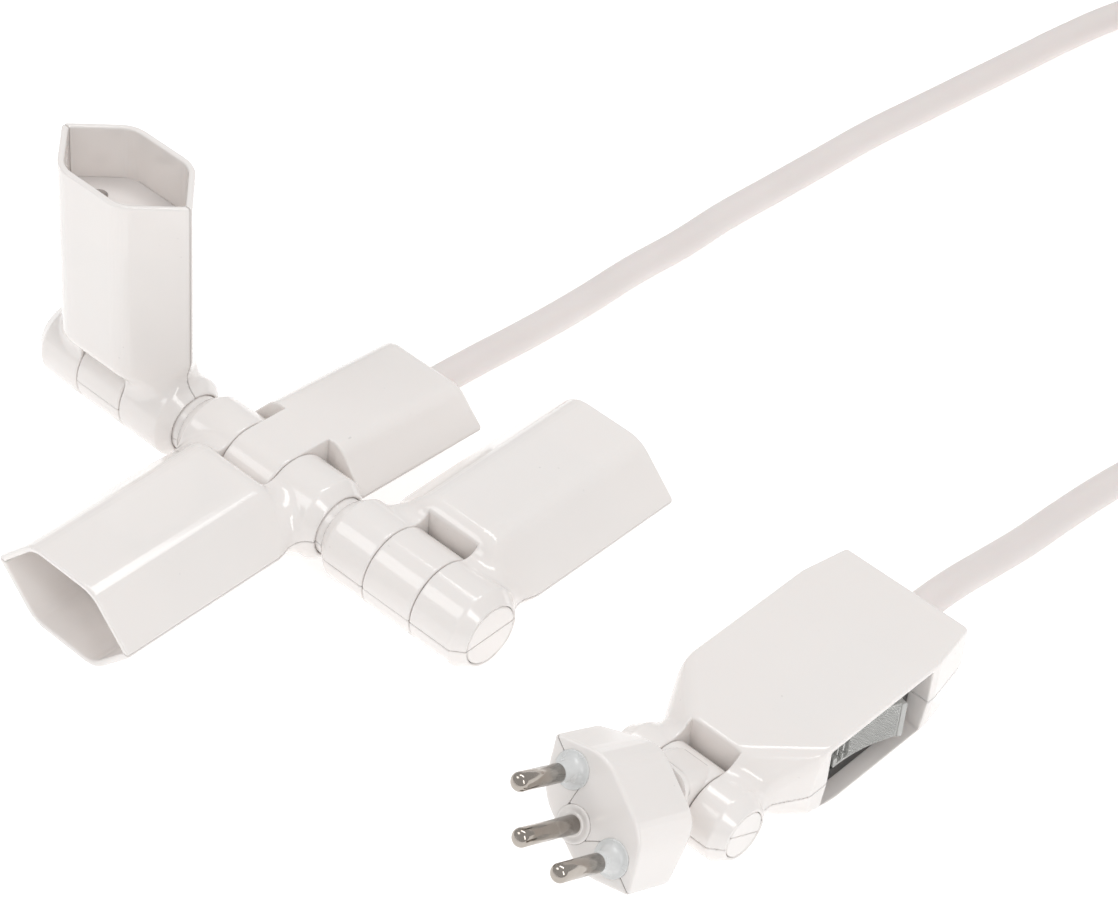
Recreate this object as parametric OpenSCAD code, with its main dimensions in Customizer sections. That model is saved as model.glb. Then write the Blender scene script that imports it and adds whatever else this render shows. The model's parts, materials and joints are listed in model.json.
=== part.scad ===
// Three-way hinged extension cord with a swivelling plug and a rocker switch.
// Origin: on the resting surface, below the middle of the outlet unit's hinge.
// +X runs along the outlet hinge, +Y points towards the cord, +Z is up.

/* [Socket shells] */
// Width of a socket across its two points
hex_w = 41.5; // [40:0.1:43]
// Height of a socket between its two flats
hex_h = 22.8; // [22.4:0.1:24]
// Width of each flat
hex_flat = 19.2; // [18:0.1:21]
// Wall thickness of a socket
wall = 1.5; // [1.2:0.1:1.8]
// Distance from the hinge to a socket's rim
socket_len = 59.5; // [56:0.5:64]
// Depth of the recess that takes a plug
recess = 13.5; // [12:0.5:15]
// Turn of the left socket from the front position, upwards
left_turn = 90; // [0:5:180]
// Turn of the right socket from the front position, upwards
right_turn = 180; // [0:5:180]

/* [Outlet hinge] */
// Distance between two neighbouring sockets
pitch = 45.5; // [45:0.1:48]
// Radius of the hinge barrels
barrel_r = 9.8; // [9.4:0.1:10]
// Half of the length over a socket's two barrels
barrel_half = 21.75; // [21:0.05:22]
// Radius of the hollow axle
axle_r = 7.0; // [6.6:0.1:7.2]
// Half of the width of the tongue and of each knuckle
tongue_half = 6.9; // [6:0.1:7.5]
// Running clearance of the axle in the barrels
fit_gap = 0.08; // [0.05:0.01:0.1]

/* [Rear housing] */
// Distance from the hinge to the rear end of the housing
rear_len = 49; // [46:0.5:54]
// Height of the housing at its rear end
rear_h = 16.2; // [11:0.1:16.4]
// Width of the housing across its points
rear_w = 37; // [36:0.5:41]
// Width of its top and bottom flats
rear_flat = 20.8; // [17:0.1:22]
// Tilt of the rear housing about the axle, down to the surface
rear_tilt = 3.8; // [0:0.1:4]

/* [Plug body] */
// Width of the plug body
plug_w = 37.8; // [36:0.2:40]
// Height of the plug body
plug_h = 21.4; // [21:0.1:22.6]
// Distance from the plug hinge to the rear end of the body
plug_len = 70.8; // [68:0.2:74]
// Radius of the plug hinge barrels
plug_barrel_r = 8.2; // [7.8:0.1:9]
// Half of the length over the two arms of the plug hinge
arm_half = 16.4; // [15.6:0.1:17]
// Radius of the plug hinge axle
plug_axle_r = 5.3; // [5:0.1:5.6]
// Half of the width of the plug knuckle
knuckle_half = 6.3; // [5.8:0.1:6.6]

/* [Plug head] */
// Width of the plug head across its points
head_w = 35; // [34:0.1:36]
// Thickness of the plug head
head_h = 17.7; // [17:0.1:18.4]
// Width of each flat of the head
head_flat = 17.6; // [16:0.1:19]
// Distance from the plug hinge to the face of the head
head_reach = 32.8; // [31:0.1:35]
// Depth of the head behind its face
head_depth = 20; // [19:0.1:21]
// Tilt of the head above the body
head_tilt = 27.7; // [0:0.1:60]
// Turn of the head about its pins' direction
head_turn = 33.6; // [-60:0.1:60]

/* [Pins] */
// Radius of a pin
pin_r = 2.0; // [1.9:0.05:2.1]
// Length of a pin outside the head
pin_len = 19; // [18:0.5:20]
// Distance between the live and the neutral pin
pin_pitch = 19; // [18.5:0.1:19.5]
// Offset of the earth pin from the middle
earth_offset = 5; // [4.5:0.1:5.5]
// Length of the insulating sleeve on a pin
sleeve_len = 4.9; // [4:0.1:10]

/* [Cord] */
// Diameter of the cord
cord_d = 7.4; // [6.6:0.1:7.6]

/* [Hidden] */
$fn = 64;
eps = 0.01;
hinge_z = hex_h / 2;
side_gap = 0.25;
gap_half = tongue_half + side_gap;
notch = barrel_r + 0.5;
body_start = 13.5;
barrel_chamfer = 3;
barrel_end_r = axle_r + 0.65;
waist_half = barrel_half - barrel_chamfer;
inner_w = hex_w - 2.8 * wall;
inner_h = hex_h - 2 * wall;
inner_flat = hex_flat - 0.8 * wall;
chamber_end = 17;
floor_y = socket_len - recess;
insert_t = 3;
hole_r = 2.25;
contact_r = 2.9;
contact_len = 18;
total_half = pitch + barrel_half;
axle_wall = 1.6;
rear_front = barrel_r + 0.4;
rear_taper = (barrel_r - rear_h / 2) / (rear_len - rear_front);
bus_r = 1.3;
plug_hinge_z = plug_h / 2;
plug_x = 124;
plug_y = -3;
plug_yaw = 0;
plug_side = plug_w / 2;
plug_wall = 1.8;
notch_p = plug_barrel_r + 0.6;
shoulder_y = 19.7;
underside_y = 26;
window_y = [23, 56];
window_z = [1.8, 19.6];
window_deep = 4.7;
frame_x = plug_side - window_deep;
frame_depth = 12;
frame_gap = 0.3;
rocker_y = 41.5;
rocker_half = 9.5;
rocker_h = 9.9;
rocker_turn = 12.3;
rocker_face = 5.4;
rocker_back = 3;
rocker_face_r = 40;
rocker_pivot_x = frame_x - 4;
rocker_room = 1.6;
pivot_r = 1.2;
pivot_half = 6.2;
neon_r = 1.6;
neon_len = 8;
blade = [7, 4.8, 0.8];
blade_pitch = 9;
cord_r = cord_d / 2;
cord_hole = cord_r + 0.3;
collar_len = 4;

// The outlet's run of cord, from its clamp to the coil
outlet_route = [
    [0, 40, 8.74], [0, 49, 8.15], [0, 58, 7.5], [0, 68, 6.6], [0, 79, 5.4], [0, 91, 4.4],
    [0, 104, 3.8], [0, 120, 3.7], [1, 136, 3.7], [1, 152, 3.7], [2, 170, 3.7], [3, 188, 3.7],
    [4, 206, 3.7], [6, 224, 3.7], [8, 242, 3.7], [10, 260, 3.7], [12, 278, 3.7], [15, 296, 3.7],
    [20, 312, 3.7], [29, 325, 3.7], [43, 333, 3.7], [60, 336, 3.7], [78, 336, 3.7], [95, 335, 3.7]
];
// The plug's run of cord, from the coil to the plug's clamp
plug_route = [
    [145, 285, 11.2], [145, 269, 10.9], [143, 253, 9.4], [140, 237, 7.3], [137, 221, 5.3],
    [134, 205, 4.1], [131, 189, 3.7], [129, 173, 3.7], [127, 157, 3.7], [125, 142, 3.7],
    [124, 127, 4.0], [124, 112, 5.4], [124, 98, 7.8], [124, 86, 9.9], [124, 75, 10.7], [124, 55, 10.7]
];
coil_pos = [95, 285];
coil_r = [31.3, 53.7];
coil_h = 14.9;
cord_sides = 10;

// ---- shared shapes ----

module hexagon(w, h, flat) {
    polygon([[-w/2, 0], [-flat/2, h/2], [flat/2, h/2], [w/2, 0], [flat/2, -h/2], [-flat/2, -h/2]]);
}

// A prism along Y, from y = near to y = far, with its outline in X and Z
module along_y(near, far) {
    translate([0, far, 0])
        rotate([90, 0, 0])
            linear_extrude(far - near)
                children();
}

// A prism along X with its outline in Y and Z
module along_x(near, far) {
    translate([near, 0, 0])
        rotate([90, 0, 90])
            linear_extrude(far - near)
                children();
}

module rod_x(near, far, r) {
    translate([near, 0, 0])
        rotate([0, 90, 0])
            cylinder(r = r, h = far - near);
}

module rod_y(near, far, r) {
    translate([0, far, 0])
        rotate([90, 0, 0])
            cylinder(r = r, h = far - near);
}

module half_space(side) {
    translate([-150, -150, side > 0 ? 0 : -60])
        cube([300, 300, 60]);
}

// ---- sockets, drawn with the hinge on the X axis and the rim towards -Y ----

module socket_barrel() {
    rod_x(gap_half, waist_half, barrel_r);
    translate([waist_half - eps, 0, 0])
        rotate([0, 90, 0])
            cylinder(r1 = barrel_r, r2 = barrel_end_r, h = barrel_chamfer + eps);
    along_x(gap_half, waist_half - 5)
        polygon([[-body_start, -hex_h/2], [-notch, -barrel_r], [0, -barrel_r],
                 [0, barrel_r], [-notch, barrel_r], [-body_start, hex_h/2]]);
}

module socket_outer() {
    along_y(-socket_len, -body_start)
        hexagon(hex_w, hex_h, hex_flat);
    intersection() {
        along_y(-body_start - eps, -4)
            hexagon(hex_w, 2 * barrel_r, hex_flat);
        translate([-waist_half, -body_start - 1, -barrel_r])
            cube([2 * waist_half, body_start + 1, 2 * barrel_r]);
    }
    along_y(-body_start - eps, -notch)
        hexagon(hex_flat + 12, hex_h, hex_flat);
    for (side = [0, 1])
        mirror([side, 0, 0])
            socket_barrel();
}

module socket_hollow() {
    along_y(-socket_len - 1, -chamber_end)
        hexagon(inner_w, inner_h, inner_flat);
    rod_x(-total_half, total_half, axle_r + fit_gap);
    translate([-gap_half, -notch, -hex_h])
        cube([2 * gap_half, 60, 2 * hex_h]);
    for (x = [-11, 11])
        translate([x, 0, 0])
            rod_y(-chamber_end - 1, -3, 1.8);
}

module socket_shell(side) {
    intersection() {
        difference() {
            socket_outer();
            socket_hollow();
        }
        half_space(side);
    }
}

// Live, neutral and earth places on a face: x and z
face_places = [[-pin_pitch/2, 0], [pin_pitch/2, 0], [0, -earth_offset]];

module face_insert() {
    difference() {
        along_y(-floor_y, -floor_y + insert_t)
            hexagon(inner_w - 0.2, inner_h - 0.2, inner_flat - 0.1);
        for (p = face_places)
            translate([p.x, 0, p.y])
                rod_y(-floor_y - 1, -floor_y + insert_t + 1, hole_r);
    }
}

module socket_contact(index) {
    p = face_places[index];
    start = -floor_y + insert_t + 0.1;
    translate([p.x, 0, p.y])
        difference() {
            union() {
                rod_y(start, start + contact_len, contact_r);
                rod_y(start + contact_len - eps, start + contact_len + 4, 1.2);
            }
            rod_y(start - 1, start + contact_len - 1.5, hole_r);
        }
}

module place_socket(x, turn) {
    translate([x, 0, hinge_z])
        rotate([-turn, 0, 0])
            children();
}

shell_white = [0.93, 0.92, 0.90];
brass = [0.78, 0.62, 0.35];

module front_shell_upper() { color(shell_white) place_socket(0, 0) socket_shell(1); }
module front_shell_lower() { color(shell_white) place_socket(0, 0) socket_shell(-1); }
module front_face_insert() { color(shell_white) place_socket(0, 0) face_insert(); }
module front_contact_live() { color(brass) place_socket(0, 0) socket_contact(0); }
module front_contact_neutral() { color(brass) place_socket(0, 0) socket_contact(1); }
module front_contact_earth() { color(brass) place_socket(0, 0) socket_contact(2); }
module left_shell_upper() { color(shell_white) place_socket(-pitch, left_turn) socket_shell(1); }
module left_shell_lower() { color(shell_white) place_socket(-pitch, left_turn) socket_shell(-1); }
module left_face_insert() { color(shell_white) place_socket(-pitch, left_turn) face_insert(); }
module left_contact_live() { color(brass) place_socket(-pitch, left_turn) socket_contact(0); }
module left_contact_neutral() { color(brass) place_socket(-pitch, left_turn) socket_contact(1); }
module left_contact_earth() { color(brass) place_socket(-pitch, left_turn) socket_contact(2); }
module right_shell_upper() { color(shell_white) place_socket(pitch, right_turn) socket_shell(1); }
module right_shell_lower() { color(shell_white) place_socket(pitch, right_turn) socket_shell(-1); }
module right_face_insert() { color(shell_white) place_socket(pitch, right_turn) face_insert(); }
module right_contact_live() { color(brass) place_socket(pitch, right_turn) socket_contact(0); }
module right_contact_neutral() { color(brass) place_socket(pitch, right_turn) socket_contact(1); }
module right_contact_earth() { color(brass) place_socket(pitch, right_turn) socket_contact(2); }

// ---- axle: one hollow tube in two halves, with a knuckle inside each side socket ----

module axle_outer() {
    rod_x(-total_half, total_half, axle_r);
    for (x = [-pitch, pitch])
        rod_x(x - tongue_half, x + tongue_half, barrel_r);
}

module axle_half(side) {
    translate([0, 0, hinge_z])
        intersection() {
            difference() {
                axle_outer();
                rod_x(-total_half + 2, total_half - 2, axle_r - axle_wall);
                rotate([-90, 0, 0])
                    cylinder(r = 3.2, h = 20);
            }
            half_space(side);
        }
}

module axle_upper() { color(shell_white) axle_half(1); }
module axle_lower() { color(shell_white) axle_half(-1); }

// One rod per pole, side by side in the axle
module bus_rod(y, z) {
    translate([0, y, hinge_z + z])
        rod_x(-total_half + 6, total_half - 6, bus_r);
}

module bus_live() { color([0.72, 0.45, 0.2]) bus_rod(-2, 1.2); }
module bus_neutral() { color([0.72, 0.45, 0.2]) bus_rod(2, 1.2); }
module bus_earth() { color([0.72, 0.45, 0.2]) bus_rod(0, -2.6); }

// ---- rear housing ----

module place_rear() {
    translate([0, 0, hinge_z])
        rotate([-rear_tilt, 0, 0])
            children();
}

module rear_outer() {
    intersection() {
        along_y(rear_front, rear_len)
            hexagon(rear_w, 2 * barrel_r, rear_flat);
        along_x(-rear_w, rear_w)
            polygon([[rear_front - 1, barrel_r + rear_taper], [rear_len + 1, rear_h/2 - rear_taper],
                     [rear_len + 1, rear_taper - rear_h/2], [rear_front - 1, -barrel_r - rear_taper]]);
        linear_extrude(60, center = true)
            polygon([[-rear_w/2, 0], [rear_w/2, 0], [rear_w/2, rear_len - 2], [rear_w/2 - 2, rear_len],
                     [2 - rear_w/2, rear_len], [-rear_w/2, rear_len - 2]]);
    }
    rod_x(-tongue_half, tongue_half, barrel_r);
    translate([-tongue_half, 0, -barrel_r])
        cube([2 * tongue_half, rear_front + 2, 2 * barrel_r]);
}

module rear_hollow() {
    rod_x(-30, 30, axle_r + 0.02);
    translate([-13, 14, -4.2])
        cube([26, rear_len - 16, 8.4]);
    rod_y(rear_len - 3, rear_len + 1, cord_hole + 1.2);
    rod_y(5, 15, 3.2);
}

module rear_shell(side) {
    place_rear()
        intersection() {
            difference() {
                rear_outer();
                rear_hollow();
            }
            half_space(side);
        }
}

module rear_housing_upper() { color(shell_white) rear_shell(1); }
module rear_housing_lower() { color(shell_white) rear_shell(-1); }

module grommet(y, z, outer, len) {
    translate([0, y, z])
        difference() {
            rod_y(0, len, outer);
            rod_y(-1, len + 1, cord_r + 0.05);
        }
}

module outlet_grommet() { color(shell_white) place_rear() grommet(rear_len - 2, 0, cord_hole + 1.1, 3.5); }

module cord_clamp(y, z) {
    translate([0, y, z])
        difference() {
            translate([-9, 0, 0])
                cube([18, 5, 4]);
            rod_y(-1, 6, cord_r + 0.05);
            for (x = [-6.5, 6.5])
                translate([x, 2.5, -1])
                    cylinder(r = 1.2, h = 6);
        }
}

module clamp_screws(y, z) {
    for (x = [-6.5, 6.5])
        translate([x, y + 2.5, z]) {
            translate([0, 0, -3.5])
                cylinder(r = 1.1, h = 7.5);
        }
}

module outlet_cord_clamp() { color([0.85, 0.85, 0.83]) place_rear() cord_clamp(40.5, 0); }
module outlet_clamp_screws() { color([0.7, 0.7, 0.72]) place_rear() clamp_screws(40.5, 0); }

// Three insulated wires between the cord's end and the axle
module outlet_leads() {
    color([0.45, 0.3, 0.2])
        place_rear()
            for (x = [-2, 0, 2])
                translate([x, 0, 0])
                    rod_y(7.5, 39.8, 0.9);
}

// ---- plug body, drawn with its hinge on the X axis ----

module place_plug() {
    translate([plug_x, plug_y, plug_hinge_z])
        rotate([0, 0, plug_yaw])
            children();
}

module plug_plan() {
    polygon([[-plug_side, shoulder_y], [-13, notch_p + 1.5], [-13, 0], [13, 0], [13, notch_p + 1.5],
             [plug_side, shoulder_y], [plug_side, 58.2], [plug_side - 2.3, plug_len],
             [2.3 - plug_side, plug_len], [-plug_side, 58.2]]);
}

module plug_outer() {
    intersection() {
        linear_extrude(60, center = true)
            plug_plan();
        along_x(-30, 30)
            polygon([[0, plug_barrel_r], [notch_p, plug_hinge_z], [plug_len + 1, plug_hinge_z],
                     [plug_len + 1, 6.6 - plug_hinge_z], [64.4, -plug_hinge_z],
                     [underside_y, -plug_hinge_z], [0, -plug_barrel_r]]);
    }
    rod_x(-13.5, 13.5, plug_barrel_r);
    for (side = [0, 1])
        mirror([side, 0, 0])
            translate([13.5 - eps, 0, 0])
                rotate([0, 90, 0])
                    cylinder(r1 = plug_barrel_r, r2 = plug_axle_r + 0.7, h = arm_half - 13.5 + eps);
    rod_y(plug_len - 1, plug_len + collar_len, 6.2);
}

module plug_hollow() {
    rod_x(-30, 30, plug_axle_r + fit_gap);
    translate([-knuckle_half - side_gap, -20, -20])
        cube([2 * (knuckle_half + side_gap), 20 + notch_p, 40]);
    translate([-plug_side + plug_wall, shoulder_y + 2, -plug_hinge_z + plug_wall])
        cube([plug_w - plug_wall - 3, 46, plug_h - 2 * plug_wall]);
    translate([frame_x - 3, window_y[0], window_z[0] - plug_hinge_z])
        cube([20, window_y[1] - window_y[0], window_z[1] - window_z[0]]);
    rod_y(plug_len - 4, plug_len + collar_len + 1, cord_hole);
    rod_y(notch_p - 2, shoulder_y + 4, 2.6);
}

module plug_shell(side) {
    place_plug()
        intersection() {
            difference() {
                plug_outer();
                plug_hollow();
            }
            half_space(side);
        }
}

module plug_body_upper() { color(shell_white) plug_shell(1); }
module plug_body_lower() { color(shell_white) plug_shell(-1); }
module plug_grommet() { color(shell_white) place_plug() grommet(plug_len - 5.5, 0, cord_hole + 2, 1.4); }
module plug_cord_clamp() { color([0.85, 0.85, 0.83]) place_plug() cord_clamp(58.5, 0); }
module plug_clamp_screws() { color([0.7, 0.7, 0.72]) place_plug() clamp_screws(58.5, 0); }

// Upright rod on the rocker's own axis
module rocker_axis(r, half) {
    translate([rocker_pivot_x, rocker_y, -half])
        cylinder(r = r, h = 2 * half);
}

// Black frame that the rocker turns in
module switch_frame() {
    room_half = rocker_half + rocker_room;
    color([0.08, 0.08, 0.08])
        place_plug()
            difference() {
                translate([frame_x - frame_depth, window_y[0] + frame_gap, window_z[0] - plug_hinge_z + frame_gap])
                    cube([frame_depth, window_y[1] - window_y[0] - 2 * frame_gap,
                          window_z[1] - window_z[0] - 2 * frame_gap]);
                translate([frame_x - frame_depth + 1.5, rocker_y - room_half, -rocker_h/2 - frame_gap])
                    cube([frame_depth, 2 * room_half, rocker_h + 2 * frame_gap]);
                rocker_axis(pivot_r + fit_gap, pivot_half + frame_gap);
            }
}

// Rocker, a bar with a hollow face that turns about an upright pivot
module rocker() {
    rim = 1.4;
    color([0.75, 0.77, 0.76, 0.8])
        place_plug() {
            translate([rocker_pivot_x, rocker_y, 0])
                rotate([0, 0, -rocker_turn])
                    difference() {
                        translate([-rocker_back, -rocker_half, -rocker_h/2])
                            cube([rocker_back + rocker_face + 1.1, 2 * rocker_half, rocker_h]);
                        translate([rocker_face + rocker_face_r, 0, -rocker_h])
                            cylinder(r = rocker_face_r, h = 2 * rocker_h, $fn = 240);
                        translate([-rocker_back - 1, -rocker_half + rim, -rocker_h/2 + rim])
                            cube([5.5, 2 * (rocker_half - rim), rocker_h - 2 * rim]);
                    }
            rocker_axis(pivot_r, pivot_half);
        }
}

module neon_lamp() {
    color([0.95, 0.6, 0.3])
        place_plug()
            translate([frame_x - 8.6, rocker_y - neon_len/2, 0])
                rod_y(0, neon_len, neon_r);
}

// Three blades behind the switch
module switch_terminals() {
    color(brass)
        place_plug()
            for (k = [-1, 0, 1])
                translate([frame_x - frame_depth - blade.x, rocker_y + k * blade_pitch - blade.y/2, -blade.z/2])
                    cube(blade);
}

// ---- plug knuckle and head, drawn with the pins towards -Y ----

module place_knuckle() {
    place_plug()
        rotate([-head_tilt, 0, 0])
            children();
}

module place_head() {
    place_knuckle()
        rotate([0, head_turn, 0])
            children();
}

head_back = head_reach - head_depth;
head_point_back = head_back + 4.6;
head_back_half = 10;
knuckle_front = -head_back + 0.4;
flange_r = 8.4;
spindle_r = 3.0;
spindle_bore = 2.0;

module knuckle_outer() {
    rod_x(-knuckle_half, knuckle_half, plug_barrel_r);
    rod_x(-arm_half, arm_half, plug_axle_r);
    translate([-knuckle_half, knuckle_front, -plug_barrel_r])
        cube([2 * knuckle_half, -knuckle_front, 2 * plug_barrel_r]);
    rod_y(knuckle_front, knuckle_front + 1.2, flange_r);
}

module knuckle_half_shell(side) {
    place_knuckle()
        intersection() {
            difference() {
                knuckle_outer();
                rod_x(-arm_half + 2, arm_half - 2, plug_axle_r - 1.6);
                rod_y(-head_back - 1, 0, spindle_r + 0.05);
            }
            half_space(side);
        }
}

module knuckle_upper() { color(shell_white) knuckle_half_shell(1); }
module knuckle_lower() { color(shell_white) knuckle_half_shell(-1); }

// Hollow spindle that the head turns on
module knuckle_spindle() {
    color([0.85, 0.85, 0.83])
        place_knuckle()
            difference() {
                union() {
                    rod_y(-head_back - 6, -6, spindle_r);
                    rod_y(-head_back - 6, -head_back - 4.5, 4.4);
                }
                rod_y(-head_back - 7, -5, spindle_bore);
            }
}

// Hexagonal block whose back slopes away towards its two points
module head_outer() {
    intersection() {
        along_y(-head_reach, -head_back)
            hexagon(head_w, head_h, head_flat);
        linear_extrude(2 * head_h, center = true)
            polygon([[-head_w/2, -head_reach], [head_w/2, -head_reach], [head_w/2, -head_point_back],
                     [head_back_half, -head_back], [-head_back_half, -head_back],
                     [-head_w/2, -head_point_back]]);
    }
}

module head_hollow() {
    along_y(-head_reach + 5, -head_back - 4)
        hexagon(head_w - 6, head_h - 4, head_flat - 1);
    rod_y(-head_back - 4, -head_back + 1, spindle_r + fit_gap);
    for (p = face_places)
        translate([p.x, 0, p.y])
            rod_y(-head_reach - 1, -head_reach + 6, p.x == 0 ? 4.1 : 4.3);
}

module head_shell(side) {
    place_head()
        intersection() {
            difference() {
                head_outer();
                head_hollow();
            }
            half_space(side);
        }
}

module head_shell_upper() { color(shell_white) head_shell(1); }
module head_shell_lower() { color(shell_white) head_shell(-1); }

module pin_at(index) {
    p = face_places[index];
    place_head()
        translate([p.x, -head_reach, p.y])
            children();
}

// A pin with a rounded tip; its shank is thinner where a sleeve covers it
module pin(shank_r, bare_from) {
    rod_y(-bare_from - eps, 8.5, shank_r);
    rod_y(-pin_len + pin_r, -bare_from, pin_r);
    translate([0, -pin_len + pin_r, 0])
        sphere(r = pin_r);
}

module pin_live() { color("silver") pin_at(0) pin(1.5, sleeve_len); }
module pin_neutral() { color("silver") pin_at(1) pin(1.5, sleeve_len); }
module pin_earth() { color("silver") pin_at(2) pin(1.5, 0.5); }

module sleeve() {
    difference() {
        union() {
            rod_y(-sleeve_len, 1, pin_r);
            rod_y(-0.3, 5, 4.25);
        }
        rod_y(-sleeve_len - 1, 6, 1.5);
    }
}

module sleeve_live() { color([0.85, 0.88, 0.87, 0.8]) pin_at(0) sleeve(); }
module sleeve_neutral() { color([0.85, 0.88, 0.87, 0.8]) pin_at(1) sleeve(); }

module earth_collar() {
    color(shell_white)
        pin_at(2)
            difference() {
                rod_y(-0.5, 5, 4.05);
                rod_y(-2, 6, 1.5);
            }
}

// ---- cord ----

function step_of(route, i) =
    route[min(i + 1, len(route) - 1)] - route[max(i - 1, 0)];

function ring_of(route, i, r) =
    let (t = step_of(route, i) / norm(step_of(route, i)),
         s = cross(t, [0, 0, 1]) / norm(cross(t, [0, 0, 1])),
         u = cross(s, t))
    [for (k = [0:cord_sides - 1])
        route[i] + r * (cos(360 * k / cord_sides) * s + sin(360 * k / cord_sides) * u)];

module cord_tube(route) {
    n = len(route);
    points = [for (i = [0:n - 1]) each ring_of(route, i, cord_r)];
    sides = [for (i = [0:n - 2]) for (k = [0:cord_sides - 1])
        [i * cord_sides + k, i * cord_sides + (k + 1) % cord_sides,
         (i + 1) * cord_sides + (k + 1) % cord_sides, (i + 1) * cord_sides + k]];
    first = [[for (k = [cord_sides - 1:-1:0]) k]];
    last = [[for (k = [0:cord_sides - 1]) (n - 1) * cord_sides + k]];
    polyhedron(points, concat(first, sides, last), convexity = 6);
}

module cord_outlet_run() { color(shell_white) cord_tube(outlet_route); }
module cord_plug_run() { color(shell_white) cord_tube(plug_route); }

module cord_coil() {
    color(shell_white)
        translate([coil_pos.x, coil_pos.y, 0])
            rotate_extrude()
                translate([coil_r[0], 0])
                    square([coil_r[1] - coil_r[0], coil_h]);
}

rear_housing_upper();
rear_housing_lower();
outlet_grommet();
outlet_cord_clamp();
outlet_clamp_screws();
axle_upper();
axle_lower();
bus_live();
bus_neutral();
bus_earth();
outlet_leads();
front_shell_upper();
front_shell_lower();
front_face_insert();
front_contact_live();
front_contact_neutral();
front_contact_earth();
left_shell_upper();
left_shell_lower();
left_face_insert();
left_contact_live();
left_contact_neutral();
left_contact_earth();
right_shell_upper();
right_shell_lower();
right_face_insert();
right_contact_live();
right_contact_neutral();
right_contact_earth();
plug_body_upper();
plug_body_lower();
plug_grommet();
plug_cord_clamp();
plug_clamp_screws();
switch_frame();
switch_terminals();
neon_lamp();
rocker();
knuckle_upper();
knuckle_lower();
knuckle_spindle();
head_shell_upper();
head_shell_lower();
pin_live();
pin_neutral();
pin_earth();
sleeve_live();
sleeve_neutral();
earth_collar();
cord_outlet_run();
cord_coil();
cord_plug_run();
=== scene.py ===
import json
import math

import bpy
import numpy as np
from mathutils import Matrix, Vector


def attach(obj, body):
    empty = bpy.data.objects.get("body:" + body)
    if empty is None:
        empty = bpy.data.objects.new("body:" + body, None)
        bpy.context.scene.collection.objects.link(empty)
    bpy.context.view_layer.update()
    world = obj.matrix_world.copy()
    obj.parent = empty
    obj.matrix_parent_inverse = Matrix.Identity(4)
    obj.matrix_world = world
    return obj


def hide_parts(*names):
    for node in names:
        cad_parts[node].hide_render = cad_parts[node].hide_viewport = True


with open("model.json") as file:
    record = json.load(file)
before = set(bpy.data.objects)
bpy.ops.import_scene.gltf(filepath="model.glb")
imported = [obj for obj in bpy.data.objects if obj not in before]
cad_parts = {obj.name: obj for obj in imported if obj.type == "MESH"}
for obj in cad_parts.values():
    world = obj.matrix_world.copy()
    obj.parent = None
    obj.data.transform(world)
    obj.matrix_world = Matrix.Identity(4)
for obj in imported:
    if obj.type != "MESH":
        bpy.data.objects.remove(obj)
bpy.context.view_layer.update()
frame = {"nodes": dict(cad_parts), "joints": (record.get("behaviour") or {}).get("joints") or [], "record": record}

MM = 0.001
JOINTS = {joint["name"]: joint for joint in frame["joints"]}

# ---- camera: the photograph's viewing angle ----

VIEW_TARGET = Vector((0.0292, 0.0630, 0.0))
VIEW_AZIMUTH = 39.44
VIEW_ELEVATION = 41.87
VIEW_ROLL = 5.29
VIEW_DISTANCE = 0.8001
VIEW_LENS = 113.24


def make_camera():
    """A camera that looks at the target from the photograph's direction."""
    azimuth, elevation, roll = map(math.radians, (VIEW_AZIMUTH, VIEW_ELEVATION, VIEW_ROLL))
    back = Vector((math.sin(azimuth) * math.cos(elevation),
                   -math.cos(azimuth) * math.cos(elevation), math.sin(elevation)))
    data = bpy.data.cameras.new("camera")
    data.lens = VIEW_LENS
    data.sensor_width = 36
    data.clip_start = 0.01
    camera = bpy.data.objects.new("camera", data)
    camera.matrix_world = (Matrix.Translation(VIEW_TARGET + back * VIEW_DISTANCE)
                           @ back.to_track_quat("Z", "Y").to_matrix().to_4x4()
                           @ Matrix.Rotation(roll, 4, "Z"))
    bpy.context.scene.collection.objects.link(camera)
    bpy.context.scene.camera = camera


make_camera()

# ---- materials ----


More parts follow.
